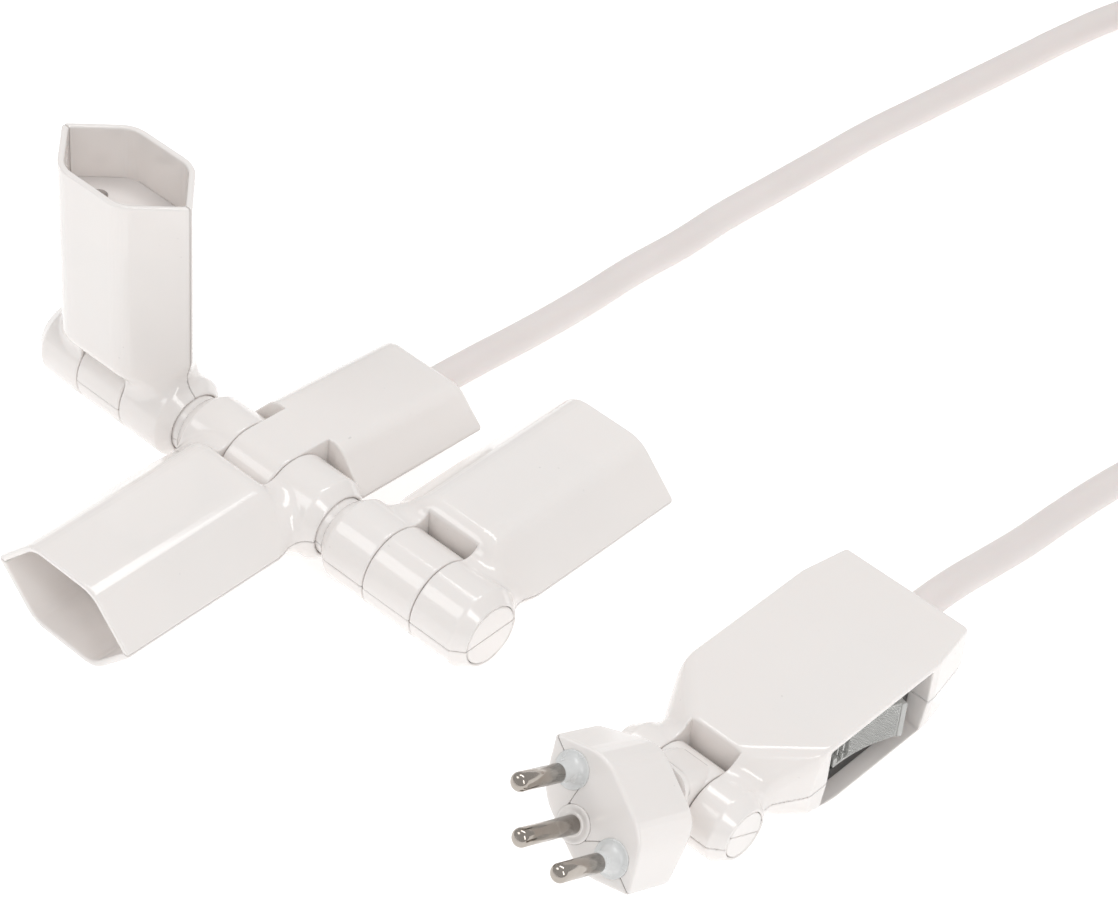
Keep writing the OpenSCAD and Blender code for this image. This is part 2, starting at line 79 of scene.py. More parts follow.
class Shader:
    """A node material that is built step by step, in metres of the object's own space."""

    def __init__(self, name):
        self.material = bpy.data.materials.new(name)
        self.material.use_nodes = True
        self.nodes = self.material.node_tree.nodes
        self.links = self.material.node_tree.links
        self.surface = self.nodes["Principled BSDF"]
        self.where = self.nodes.new("ShaderNodeTexCoord").outputs["Object"]

    def set(self, **values):
        for name, value in values.items():
            self.surface.inputs[name.replace("_", " ")].default_value = value
        return self

    def noise(self, scale, detail=3.0, roughness=0.5):
        node = self.nodes.new("ShaderNodeTexNoise")
        node.inputs["Scale"].default_value = scale
        node.inputs["Detail"].default_value = detail
        node.inputs["Roughness"].default_value = roughness
        self.links.new(self.where, node.inputs["Vector"])
        return node.outputs["Fac"]

    def ramp(self, value, stops):
        node = self.nodes.new("ShaderNodeValToRGB")
        self.links.new(value, node.inputs["Fac"])
        ramp = node.color_ramp
        while len(ramp.elements) < len(stops):
            ramp.elements.new(0.5)
        for element, (place, colour) in zip(ramp.elements, stops):
            element.position = place
            element.color = (*colour, 1) if len(colour) == 3 else colour
        return node.outputs["Color"]

    def mix(self, factor, a, b, mode="MIX"):
        node = self.nodes.new("ShaderNodeMix")
        node.data_type = "RGBA"
        node.blend_type = mode
        for socket, value in (("Factor_Float", factor), ("A_Color", a), ("B_Color", b)):
            target = next(i for i in node.inputs if i.identifier == socket)
            if isinstance(value, bpy.types.NodeSocket):
                self.links.new(value, target)
            else:
                target.default_value = value if socket == "Factor_Float" else (*value, 1)
        return next(o for o in node.outputs if o.identifier == "Result_Color")

    def spread(self, value, low, high, start=0.3, end=0.7):
        """The value from a noise, mapped from start..end to low..high."""
        node = self.nodes.new("ShaderNodeMapRange")
        self.links.new(value, node.inputs["Value"])
        for name, number in (("From Min", start), ("From Max", end), ("To Min", low), ("To Max", high)):
            node.inputs[name].default_value = number
        return node.outputs["Result"]

    def feed(self, socket, value):
        self.links.new(value, self.surface.inputs[socket])
        return self

    def bump(self, value, depth, strength=1.0):
        node = self.nodes.new("ShaderNodeBump")
        node.inputs["Strength"].default_value = strength
        node.inputs["Distance"].default_value = depth
        self.links.new(value, node.inputs["Height"])
        if self.surface.inputs["Normal"].links:
            self.links.new(self.surface.inputs["Normal"].links[0].from_socket, node.inputs["Normal"])
        self.links.new(node.outputs["Normal"], self.surface.inputs["Normal"])
        return self


def moulded(name, colour, shade, rough=(0.10, 0.14), speck=0.15, coat=0.25):
    """Glossy moulded plastic: slow colour drift, rare dust specks, a faint orange-peel surface."""
    s = Shader(name).set(Coat_Weight=coat, Coat_Roughness=0.08, IOR=1.5,
                         Subsurface_Weight=0.08, Subsurface_Scale=0.004)
    s.surface.inputs["Subsurface Radius"].default_value = (1.0, 0.8, 0.7)
    base = s.ramp(s.noise(35.0, 2.0), [(0.3, colour), (0.75, shade)])
    specks = s.ramp(s.noise(700.0, 1.0), [(0.79, (0, 0, 0)), (0.83, (1, 1, 1))])
    tint = tuple(c * (1 - speck) for c in colour)
    s.feed("Base Color", s.mix(specks, base, tint))
    s.feed("Roughness", s.spread(s.noise(140.0, 4.0), *rough))
    return s.bump(s.noise(900.0, 2.0), 0.00001, 0.35).material


def soft_pvc(name, colour, shade):
    """Satin flexible PVC of a cord: fine drag lines and slow waviness."""
    s = Shader(name).set(IOR=1.5, Sheen_Weight=0.06, Subsurface_Weight=0.06, Subsurface_Scale=0.003)
    s.feed("Base Color", s.ramp(s.noise(45.0, 4.0), [(0.3, colour), (0.72, shade)]))
    s.feed("Roughness", s.spread(s.noise(260.0, 5.0), 0.42, 0.58))
    s.bump(s.noise(1500.0, 3.0), 0.00002, 0.35)
    return s.bump(s.noise(110.0, 2.0), 0.00010, 0.30).material


def metal(name, colour, worn, rough, scratch=700.0):
    """Plated or bare metal with small scratches and a slow tone drift."""
    s = Shader(name).set(Metallic=1.0)
    s.feed("Base Color", s.ramp(s.noise(180.0, 4.0), [(0.3, colour), (0.75, worn)]))
    s.feed("Roughness", s.spread(s.noise(scratch, 5.0), *rough))
    return s.bump(s.noise(scratch * 2, 2.0), 0.000008, 0.4).material


def clear_plastic(name, colour, transmission, rough):
    """Milky or smoky translucent plastic with a little cloudiness inside."""
    s = Shader(name).set(IOR=1.49, Transmission_Weight=transmission, Coat_Weight=0.3, Coat_Roughness=0.06)
    paler = tuple(min(1.0, c * 1.08) for c in colour)
    s.feed("Base Color", s.ramp(s.noise(300.0, 3.0), [(0.35, colour), (0.7, paler)]))
    s.feed("Roughness", s.spread(s.noise(400.0, 3.0), *rough))
    return s.bump(s.noise(1200.0, 2.0), 0.00001, 0.3).material


WHITE = (0.885, 0.845, 0.820)
WHITE_SHADE = (0.870, 0.828, 0.802)
MATERIALS = {
    "shell_plastic": moulded("shell_plastic", WHITE, WHITE_SHADE),
    "insert_plastic": moulded("insert_plastic", (0.90, 0.86, 0.84), (0.88, 0.84, 0.82), (0.3, 0.4),
                              coat=0.1),
    "cord_jacket": soft_pvc("cord_jacket", (0.80, 0.745, 0.725), (0.765, 0.71, 0.69)),
    "brass_contacts": metal("brass_contacts", (0.55, 0.32, 0.16), (0.40, 0.20, 0.10), (0.25, 0.45)),
    "copper": metal("copper", (0.72, 0.38, 0.22), (0.55, 0.27, 0.15), (0.3, 0.45)),
    "screw_steel": metal("screw_steel", (0.62, 0.62, 0.64), (0.50, 0.50, 0.52), (0.25, 0.4)),
    "inner_plastic": moulded("inner_plastic", (0.74, 0.74, 0.71), (0.70, 0.70, 0.67), (0.4, 0.55),
                             coat=0.0),
    "wire_insulation": soft_pvc("wire_insulation", (0.30, 0.16, 0.09), (0.24, 0.12, 0.07)),
    "black_plastic": moulded("black_plastic", (0.022, 0.021, 0.020), (0.035, 0.033, 0.031), (0.3, 0.42),
                             -0.8, 0.1),
    "clear_rocker": clear_plastic("clear_rocker", (0.74, 0.74, 0.72), 0.35, (0.14, 0.24)),
    "neon_glass": clear_plastic("neon_glass", (0.95, 0.55, 0.30), 0.8, (0.02, 0.06)),
    "pin_metal": metal("pin_metal", (0.46, 0.42, 0.38), (0.38, 0.34, 0.30), (0.09, 0.16)),
    "pin_sleeve": clear_plastic("pin_sleeve", (0.88, 0.89, 0.885), 0.25, (0.18, 0.3)),
}

# ---- placing ----


def turned(axis, degrees):
    return Matrix.Rotation(math.radians(degrees), 4, axis)


def at(x, y, z):
    return Matrix.Translation((x, y, z))


def point_of(joint):
    """Place of a joint's point, in millimetres."""
    return at(*(value / MM for value in JOINTS[joint]["pos_m"]))


# Each place takes a sub-part's own millimetres, hinge on X and front towards -Y, to the row frame
OUTLET = point_of("front_hinge")
SOCKET_PLACES = {
    "front": point_of("front_hinge"),
    "left": point_of("left_hinge") @ turned("X", -90),
    "right": point_of("right_hinge") @ turned("X", -180),
}
PLUG = point_of("plug_hinge")
swivel = JOINTS["head_swivel"]
HEAD_TILT = math.degrees(math.atan2(-swivel["axis"][2], swivel["axis"][1]))
HEAD_TURN = 90 - swivel["range_deg"][1]
KNUCKLE = PLUG @ turned("X", -HEAD_TILT)
HEAD = KNUCKLE @ turned("Y", HEAD_TURN)

# ---- distance fields: millimetres to a surface, negative inside ----


def both(a, b, r):
    """What is in a and in b, with an edge of radius r."""
    return np.minimum(-r, np.maximum(a, b)) + np.hypot(np.maximum(r + a, 0), np.maximum(r + b, 0))


def less(a, b, r):
    """a with b cut away, with an edge of radius r."""
    return both(a, -b, r)


def joined(a, b, r):
    """a and b with a hollow fillet of radius r between them."""
    return np.maximum(r, np.minimum(a, b)) - np.hypot(np.maximum(r - a, 0), np.maximum(r - b, 0))


def block(u, v, half_u, half_v, r):
    """A rectangle with rounded corners."""
    du, dv = np.abs(u) - half_u + r, np.abs(v) - half_v + r
    return np.hypot(np.maximum(du, 0), np.maximum(dv, 0)) + np.minimum(np.maximum(du, dv), 0) - r


def rounded(corners, steps=6):
    """Points of a closed outline whose corners are (x, y, radius of the corner's arc)."""
    points = []
    for before, here, after in zip(corners[-1:] + corners[:-1], corners, corners[1:] + corners[:1]):
        tip, r = np.array(here[:2], float), here[2]
        u, v = np.array(before[:2]) - tip, np.array(after[:2]) - tip
        u, v = u / np.linalg.norm(u), v / np.linalg.norm(v)
        if r == 0:
            points.append(tip)
            continue
        half = math.acos(max(-1.0, min(1.0, float(u @ v)))) / 2
        centre = tip + (u + v) / np.linalg.norm(u + v) * r / math.sin(half)
        start = tip + u * r / math.tan(half) - centre
        end = tip + v * r / math.tan(half) - centre
        first = math.atan2(start[1], start[0])
        turn = (math.atan2(end[1], end[0]) - first + math.pi) % math.tau - math.pi
        for k in range(steps + 1):
            angle = first + turn * k / steps
            points.append(centre + r * np.array((math.cos(angle), math.sin(angle))))
    return np.array(points)


def outline(u, v, points):
    """Distance to a closed outline."""
    nearest = np.full(u.shape, 1e9)
    inside = np.zeros(u.shape, bool)
    for (ax, ay), (bx, by) in zip(points, np.roll(points, -1, 0)):
        ex, ey = bx - ax, by - ay
        wu, wv = u - ax, v - ay
        share = np.clip((wu * ex + wv * ey) / (ex * ex + ey * ey), 0, 1)
        nearest = np.minimum(nearest, (wu - ex * share) ** 2 + (wv - ey * share) ** 2)
        if ay != by:
            inside ^= ((ay <= v) != (by <= v)) & (wu < wv * ex / ey)
    return np.where(inside, -1, 1) * np.sqrt(nearest)


def hexagon(width, height, flat, point_r, flat_r):
    """Outline of a flat hexagon; point_r rounds its two points and flat_r the ends of its flats."""
    w, h, f = width / 2, height / 2, flat / 2
    return rounded([(w, 0, point_r), (f, h, flat_r), (-f, h, flat_r),
                    (-w, 0, point_r), (-f, -h, flat_r), (f, -h, flat_r)])


def surface_of(field, low, high, step):
    """Quads on the zero surface of a field: one vertex per cell that it crosses, then moved onto it."""
    axes = [np.arange(a - 2.3 * step, b + 2.5 * step, step) for a, b in zip(low, high)]
    grid = np.meshgrid(*axes, indexing="ij")
    values = field(*(g.ravel() for g in grid)).reshape(grid[0].shape)
    cells = tuple(n - 1 for n in values.shape)
    size = int(np.prod(cells))
    sums, counts, quads = np.zeros((size, 3)), np.zeros(size), []
    for axis in range(3):
        near = values[tuple(slice(0, -1) if k == axis else slice(None) for k in range(3))]
        far = values[tuple(slice(1, None) if k == axis else slice(None) for k in range(3))]
        edge = np.argwhere((near < 0) != (far < 0))
        a, b = near[tuple(edge.T)], far[tuple(edge.T)]
        crossing = edge.astype(float)
        crossing[:, axis] += a / (a - b)
        u, v = (axis + 1) % 3, (axis + 2) % 3
        ring = []
        for du, dv in ((0, 0), (-1, 0), (-1, -1), (0, -1)):
            cell = edge.copy()
            cell[:, u] += du
            cell[:, v] += dv
            ring.append(np.ravel_multi_index(cell.T, cells))
            counts += np.bincount(ring[-1], minlength=size)
            for k in range(3):
                sums[:, k] += np.bincount(ring[-1], weights=crossing[:, k], minlength=size)
        quad = np.stack(ring, 1)
        quads.append(np.where((a < 0)[:, None], quad, quad[:, ::-1]))
    used = counts > 0
    number = np.cumsum(used) - 1
    points = sums[used] / counts[used][:, None] * step + [axis[0] for axis in axes]
    for _ in range(3):
        slope = slope_of(field, points)
        pull = np.clip(field(*points.T), -step, step)
        points = points - slope * (pull / np.maximum((slope ** 2).sum(1), 0.3))[:, None]
    return points, number[np.concatenate(quads)], slope_of(field, points)


def slope_of(field, points, reach=0.02):
    """Slope of a field at points, from its values a little to each side."""
    slope = np.empty_like(points)
    for k in range(3):
        shift = np.zeros(3)
        shift[k] = reach
        slope[:, k] = field(*(points + shift).T) - field(*(points - shift).T)
    return slope / (2 * reach)


def flipped(surface, axis=2):
    """The mirror image of a surface."""
    sign = np.ones(3)
    sign[axis] = -1
    points, quads, slope = surface
    return points * sign, quads[:, ::-1], slope * sign


def place_surface(name, surface, place, body, slot, *nodes):
    """A piece from a surface, put in its place, riding on a body and standing for CAD nodes."""
    points, quads, slope = surface
    turn = np.array(place.to_3x3())
    world = (points @ turn.T + np.array(place.translation)) * MM
    mesh = bpy.data.meshes.new(name)
    mesh.vertices.add(len(world))
    mesh.vertices.foreach_set("co", world.astype(np.float32).ravel())
    mesh.loops.add(quads.size)
    mesh.loops.foreach_set("vertex_index", quads.astype(np.int32).ravel())
    mesh.polygons.add(len(quads))
    mesh.polygons.foreach_set("loop_start", np.arange(0, quads.size, 4, dtype=np.int32))
    mesh.update(calc_edges=True)
    mesh.polygons.foreach_set("use_smooth", np.ones(len(quads), bool))
    normal = slope @ turn.T
    normal /= np.maximum(np.linalg.norm(normal, axis=1), 1e-9)[:, None]
    mesh.normals_split_custom_set_from_vertices(normal.astype(np.float32))
    return settle(bpy.data.objects.new(name, mesh), body, slot, *nodes)


def settle(piece, body, slot, *nodes):
    """Links a piece, gives it its material and says what it rides on and stands for."""
    bpy.context.scene.collection.objects.link(piece)
    piece.data.materials.append(MATERIALS[slot])
    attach(piece, body)
    if nodes:
        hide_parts(*nodes)
    return piece


# ---- the cord: one piece from the outlet's clamp, through a coil, to the plug's clamp ----

CORD_D = 7.4
TURN_GAP = 7.5
OUTLET_ROUTE = [
    (0, 40, 8.74), (0, 49, 8.15), (0, 58, 7.5), (0, 68, 6.6), (0, 79, 5.4), (0, 91, 4.4),
    (0, 104, 3.8), (0, 120, 3.7), (1, 136, 3.7), (1, 152, 3.7), (2, 170, 3.7), (3, 188, 3.7),
    (4, 206, 3.7), (6, 224, 3.7), (8, 242, 3.7), (10, 260, 3.7), (12, 278, 3.7), (15, 296, 3.7),
    (20, 312, 3.7), (29, 325, 3.7), (43, 333, 3.7), (60, 336, 3.7), (78, 336, 3.7), (95, 335, 3.7),
]
PLUG_ROUTE = [
    (145, 285, 11.2), (145, 269, 10.9), (143, 253, 9.4), (140, 237, 7.3), (137, 221, 5.3),
    (134, 205, 4.1), (131, 189, 3.7), (129, 173, 3.7), (127, 157, 3.7), (125, 142, 3.7),
    (124, 127, 4.0), (124, 112, 5.4), (124, 98, 7.8), (124, 86, 9.9), (124, 75, 10.7), (124, 55, 10.7),
]
COIL_CENTRE = (95, 285)
COIL_OUTER = 50
COIL_TURNS = 5.25
# Where the cord steps to the next turn: degrees wound at the start, and the steps in and up
COIL_STEPS = [(270, -1, 0), (630, -1, 0), (900, 0, 1), (1170, 1, 0), (1530, 1, 0)]
STEP_SPAN = 90
COIL_POINT_EVERY = 22.5


def smooth(share):
    share = max(0.0, min(1.0, share))
    return share * share * (3 - 2 * share)


def coil_points():
    """The turns between the two routes, clockwise from the top: three across and two high."""
    last = COIL_TURNS * 360
    for k in range(1, round(last / COIL_POINT_EVERY)):
        wound = k * COIL_POINT_EVERY
        radius, height = COIL_OUTER, CORD_D / 2
        for start, out, up in COIL_STEPS:
            share = smooth((wound - start) / STEP_SPAN)
            radius += out * TURN_GAP * share
            height += up * TURN_GAP * share
        angle = math.radians(90 - wound)
        yield (COIL_CENTRE[0] + radius * math.cos(angle), COIL_CENTRE[1] + radius * math.sin(angle), height)


def make_cord():
    """One open curve: the outlet's run, the turns of the coil and the plug's run."""
    data = bpy.data.curves.new("cord", "CURVE")
    data.dimensions = "3D"
    data.bevel_depth = CORD_D / 2 * MM
    data.bevel_resolution = 8
    data.resolution_u = 8
    data.use_fill_caps = True
    spline = data.splines.new("BEZIER")
    route = OUTLET_ROUTE + list(coil_points()) + PLUG_ROUTE
    spline.bezier_points.add(len(route) - 1)
    for point, place in zip(spline.bezier_points, route):
        point.co = Vector(place) * MM
        point.handle_left_type = point.handle_right_type = "AUTO"
    cord = settle(bpy.data.objects.new("cord", data), "root", "cord_jacket",
                  "cord_outlet_run", "cord_coil", "cord_plug_run")
    return cord


# ---- sockets ----

HEX_W, HEX_H, HEX_FLAT, WALL = 41.5, 22.8, 19.2, 1.5
SOCKET_LEN = 59.5
BARREL_R, BARREL_HALF, BARREL_END_R, CHAMFER = 9.8, 21.75, 7.55, 3.0
AXLE_R = 7.0
GAP_HALF, TONGUE_HALF = 7.15, 6.9
NOTCH = 10.3
CHAMBER_END = 17.0
SEAM = 0.04
SEAM_EDGE = 0.15

SOCKET_OUTLINE = hexagon(HEX_W, HEX_H, HEX_FLAT, 1.3, 8.0)
CHAMBER_OUTLINE = hexagon(HEX_W - 2.8 * WALL, HEX_H - 2 * WALL, HEX_FLAT - 0.8 * WALL, 0.8, 6.5)
BARREL_OUTLINE = rounded([(-60, -40, 0), (-60, BARREL_R, 0), (BARREL_HALF - CHAMFER, BARREL_R, 1.2),
                          (BARREL_HALF, BARREL_END_R, 0.5), (BARREL_HALF, -40, 0)])


def half_of(field, side):
    """The half of a field above (1) or below (-1) its parting plane, with a softly broken edge."""
    return lambda x, y, z: both(field(x, y, z), SEAM - side * z, SEAM_EDGE)


def socket_field(x, y, z):
    """Hexagonal sleeve blended into its barrel, with the chamber, the tongue's gap and the bore cut out."""
    wide, tall, reach = np.abs(x), np.abs(z), np.hypot(y, z)
    body = both(outline(x, z, SOCKET_OUTLINE), -SOCKET_LEN - y, 0.45)
    body = both(body, (y + 11.5) * 0.818 + (tall - HEX_H / 2) * 0.575, 2.2)
    body = both(body, (wide - HEX_W / 2) * 0.807 + (y + 14.5) * 0.590, 2.0)
    whole = joined(body, outline(wide, reach, BARREL_OUTLINE), 4.0)
    whole = less(whole, np.maximum(outline(x, z, CHAMBER_OUTLINE), y + CHAMBER_END), 0.45)
    whole = less(whole, np.maximum(wide - GAP_HALF, -NOTCH - y), 0.4)
    return less(whole, reach - AXLE_R - 0.1, 0.25)


def make_sockets(step):
    upper = surface_of(half_of(socket_field, 1), (-22, -60, -0.2), (22, 10.2, 12), step)
    for name, place in SOCKET_PLACES.items():
        for part, surface in (("upper", upper), ("lower", flipped(upper))):
            node = f"{name}_shell_{part}"
            place_surface(f"{name}_casing_{part}", surface, place, f"{name}_socket", "shell_plastic", node)


# ---- rear housing ----

REAR_FRONT, REAR_LEN, REAR_W, REAR_END_H, REAR_FLAT = 10.4, 49.0, 37.0, 16.2, 20.8
REAR_OUTLINE = hexagon(REAR_W, 2 * BARREL_R, REAR_FLAT, 0.9, 6.0)
REAR_TILT = 3.8
REAR = OUTLET @ turned("X", -REAR_TILT)
CORD_COLLAR_R = 4.3


def rear_field(x, y, z):
    """Drawn about the axle: a hexagon that gets lower towards the cord, rounded about the axle in front."""
    wide, tall, reach = np.abs(x), np.abs(z), np.hypot(y, z)
    taper = (BARREL_R - REAR_END_H / 2) / (REAR_LEN - REAR_FRONT)
    half = BARREL_R - taper * np.maximum(y - REAR_FRONT, 0)
    body = outline(x, z * BARREL_R / half, REAR_OUTLINE)
    body = both(body, np.where(y < 0, reach, tall) - half, 0.3)
    body = both(body, y - REAR_LEN, np.interp(wide, (8, 18), (2.5, 1.2)))
    pocket = np.maximum(TONGUE_HALF - wide, y - REAR_FRONT)
    whole = less(body, pocket, 0.4)
    collar = both(np.hypot(x, z) - CORD_COLLAR_R, np.abs(y - REAR_LEN) - 1.8, 0.8)
    whole = joined(whole, collar, 0.8)
    whole = less(whole, np.maximum(np.hypot(x, z) - CORD_D / 2 - 0.15, REAR_LEN - 10 - y), 0.3)
    return less(whole, reach - AXLE_R - 0.05, 0.2)


def make_rear(step):
    upper = surface_of(half_of(rear_field, 1), (-19.0, -10, -0.2), (19.0, 51, 10.2), step)
    for part, surface in (("upper", upper), ("lower", flipped(upper))):
        place_surface(f"rear_casing_{part}", surface, REAR, "root", "shell_plastic", f"rear_housing_{part}")


# ---- axle with its two knuckles and end discs ----

PITCH = 45.5
AXLE_HALF = PITCH + BARREL_HALF


def axle_field(x, y, z):
    """The axle's tube with the two knuckles that stand between the outer sockets' barrels."""
    wide, reach = np.abs(x), np.hypot(y, z)
    tube = both(reach - AXLE_R, wide - AXLE_HALF, 0.3)
    knuckle = both(reach - BARREL_R, np.abs(wide - PITCH) - TONGUE_HALF, 0.35)
    return np.minimum(tube, knuckle)


def make_axle(step):
    upper = surface_of(half_of(axle_field, 1), (-AXLE_HALF, -10, -0.2), (AXLE_HALF, 10, 10), step)
    for part, surface in (("upper", upper), ("lower", flipped(upper))):
        place_surface(f"hinge_axle_{part}", surface, OUTLET, "root", "shell_plastic", f"axle_{part}")


# ---- plug body ----

PLUG_SIDE, PLUG_HALF, PLUG_LEN = 18.9, 10.7, 70.8
ARM_R, ARM_HALF, ARM_END_R, PLUG_AXLE_R = 8.2, 16.4, 5.95, 5.3
KNUCKLE_GAP, PLUG_NOTCH = 6.55, 8.8
WINDOW_Y, WINDOW_Z, WINDOW_FLOOR = (23.0, 56.0), (-8.9, 8.9), 1.5
COLLAR_R, COLLAR_LEN = 6.1, 4.0

PLUG_PLAN = rounded([(-60, -40, 0), (13.0, -40, 0), (13.0, 9.0, 7.0), (PLUG_SIDE, 19.7, 2.2),
                     (PLUG_SIDE, 58.2, 3.0), (16.6, PLUG_LEN, 1.2), (-60, PLUG_LEN, 0)])
PLUG_PROFILE = rounded([(1.5, -5.5, 0), (1.5, 5.5, 0), (9.0, PLUG_HALF, 2.5), (PLUG_LEN, PLUG_HALF, 1.3),
                        (PLUG_LEN, -4.1, 1.0), (64.4, -PLUG_HALF, 1.5), (29.0, -PLUG_HALF, 10.0),
                        (10.0, -7.0, 3.0)])
ARM_OUTLINE = rounded([(-60, -40, 0), (-60, ARM_R, 0), (ARM_HALF - 3, ARM_R, 1.0),
                       (ARM_HALF, ARM_END_R, 0.4), (ARM_HALF, -40, 0)])


def plug_field(x, y, z):
    """Body from its plan and its side profile, joined to its arms, with the knuckle's slot and the window."""
    wide, reach, round_cord = np.abs(x), np.hypot(y, z), np.hypot(x, z)
    draft = 0.10 * np.maximum(-z, 0)
    shoulder = 0.22 * np.maximum(PLUG_HALF - np.abs(z), 0) * (y < 30)
    edge = np.where(z < 0, np.interp(y, (12, 24), (5.0, 2.2)), 0.9)
    body = both(outline(wide + draft, y + shoulder, PLUG_PLAN), outline(y, z, PLUG_PROFILE), edge)
    body = both(body, (wide - y) * 0.55 + z * 0.63 - 5.64, 1.5)
    whole = joined(body, outline(wide, reach, ARM_OUTLINE), 3.2)
    collar = both(round_cord - COLLAR_R, np.abs(y - PLUG_LEN) - COLLAR_LEN, 2.0)
    whole = joined(whole, collar, 1.2)
    whole = less(whole, np.maximum(round_cord - CORD_D / 2 - 0.12, PLUG_LEN - 6 - y), 0.4)
    whole = less(whole, np.maximum(wide - KNUCKLE_GAP, y - PLUG_NOTCH), 0.4)
    middle_y, middle_z = sum(WINDOW_Y) / 2, sum(WINDOW_Z) / 2
    window = block(y - middle_y, z - middle_z, WINDOW_Y[1] - middle_y, WINDOW_Z[1] - middle_z, 0.4)
    whole = less(whole, np.maximum(window, WINDOW_FLOOR - x), 0.3)
    return less(whole, reach - PLUG_AXLE_R - 0.1, 0.25)


def make_plug_body(step):
    for part, side in (("upper", 1), ("lower", -1)):
        low, high = (-19.2, -8.5, -0.2 if side > 0 else -11), (19.2, 75, 11 if side > 0 else 0.2)
        surface = surface_of(half_of(plug_field, side), low, high, step)
        place_surface(f"plug_casing_{part}", surface, PLUG, "root", "shell_plastic", f"plug_body_{part}")


# ---- switch: black frame and clear rocker ----

FRAME_X = 14.2
ROCKER_Y, ROCKER_HALF, ROCKER_HIGH, ROCKER_FACE = 41.5, 9.5, 4.95, 5.4
ROCKER_TURN = JOINTS["rocker_switch"]["range_deg"][1] / 2
ROCKER_DEEP = 4.0
BEZEL_HALF_LEN, BEZEL_HALF_HIGH, BEZEL_HALF_DEEP = 16.2, 8.6, 6.0


def bezel_field(x, y, z):
    """Rounded frame behind the window, with the opening that the rocker stands in."""
    whole = block(y - sum(WINDOW_Y) / 2, z, BEZEL_HALF_LEN, BEZEL_HALF_HIGH, 1.8)
    whole = both(whole, np.abs(x - FRAME_X + BEZEL_HALF_DEEP) - BEZEL_HALF_DEEP, 0.4)
    opening = block(y - ROCKER_Y, z, ROCKER_HALF + 1.5, ROCKER_HIGH + 0.35, 0.8)
    return less(whole, np.maximum(opening, FRAME_X - 10 - x), 0.5)


FACE_R = 40.0
DOT_PITCH, DOT_DEPTH = 0.80, 0.24
DOTTED = (-4.9, 7.3)
LIP = 0.3
# The steps at the rocker's front end: place along it, half width, depth and half height
ROCKER_STEPS = ((-5.7, 0.7, 1.5, 4.2), (-7.6, 0.7, 1.8, 4.2), (-9.2, 0.5, 1.2, 2.0))


def rocker_field(x, y, z):
    """Drawn about its pivot: x out of the window, y towards the cord. Dotted middle, clear stepped ends."""
    hollow = y ** 2 / (2 * FACE_R)
    dotted = (y > DOTTED[0]) & (y < DOTTED[1]) & (np.abs(z) < ROCKER_HIGH - 0.4)
    dots = np.cos(math.tau * y / DOT_PITCH) * np.cos(math.tau * z / DOT_PITCH)
    face = x - ROCKER_FACE - hollow - np.where(dotted, DOT_DEPTH * dots, 0)
    lip = np.maximum(x - ROCKER_FACE - hollow - LIP, DOTTED[1] + 0.3 - y)
    body = both(block(y + 0.3, z, ROCKER_HALF - 0.3, ROCKER_HIGH, 0.5), np.minimum(face, lip), 0.25)
    body = np.maximum(body, -3 - x)
    for place, width, drop, half in ROCKER_STEPS:
        slot = np.maximum(block(y - place, z, width, half, 0.2), ROCKER_FACE - drop - x)
        body = less(body, slot, 0.15)
    rib = np.maximum(block(y + 7.4, np.abs(z) - 2.0, 2.4, 0.35, 0.1), ROCKER_FACE - 1.6 - x)
    return less(body, rib, 0.1)


def make_switch():
    place_surface("switch_bezel", surface_of(bezel_field, (1.9, 23, -8.8), (14.4, 56, 8.8), 0.4),
                  PLUG, "root", "black_plastic", "switch_frame")
    place = PLUG @ at(FRAME_X - ROCKER_DEEP, ROCKER_Y, 0) @ turned("Z", -ROCKER_TURN)
    place_surface("rocker_key", surface_of(rocker_field, (-3.2, -9.7, -5.2), (7.6, 9.7, 5.2), 0.18),
                  place, "rocker_body", "clear_rocker", "rocker")


# ---- knuckle and head of the plug ----

HEAD_REACH, HEAD_BACK = 32.8, 12.8
POINT_BACK = 17.4
HEAD_OUTLINE = hexagon(35.0, 17.7, 17.6, 1.0, 10.5)
KNUCKLE_HALF = 6.3
KNUCKLE_FRONT = HEAD_BACK - 0.35
FLANGE_R = 8.4


def knuckle_field(x, y, z):
    """Barrel between the arms, tongue and flange towards the head, cut flat just short of the head's back."""
    wide, reach = np.abs(x), np.hypot(y, z)
    barrel = both(reach - ARM_R, wide - KNUCKLE_HALF, 0.4)
    tongue = np.maximum(block(x, z, KNUCKLE_HALF, ARM_R, 3.2), np.maximum(y + 1, -KNUCKLE_FRONT - y))
    flange = both(np.hypot(x, z) - FLANGE_R, np.abs(y + HEAD_BACK - 1.0) - 0.6, 0.5)
    stub = both(reach - PLUG_AXLE_R, wide - ARM_HALF, 0.3)
    whole = np.minimum(joined(np.minimum(barrel, tongue), flange, 1.6), stub)
    return np.maximum(whole, -KNUCKLE_FRONT - y)


# Across and up on the head's face
PIN_PLACES = {"live": (-9.5, 0.0), "neutral": (9.5, 0.0), "earth": (0.0, -5.0)}
DISC_R = 3.98


def head_seam(x):
    """Height of the parting line over the face: straight outside, dipping round the middle pin."""
    return -5.0 * (1 - np.clip((np.abs(x) - 3.6) / 2.2, 0, 1))


def head_field(x, y, z):
    """Hexagonal head with a back that slopes away to its points, and a well round each pin."""
    body = both(outline(x, z, HEAD_OUTLINE), -HEAD_REACH - y, 0.7)
    body = both(body, (np.abs(x) - 17.5) * 0.523 + (y + POINT_BACK) * 0.852, 2.0)
    body = both(body, y + HEAD_BACK, 1.2)
    for px, pz in PIN_PLACES.values():
        well = np.maximum(np.hypot(x - px, z - pz) - DISC_R, y + HEAD_REACH - 5)
        body = less(body, well, 0.15)
    return body


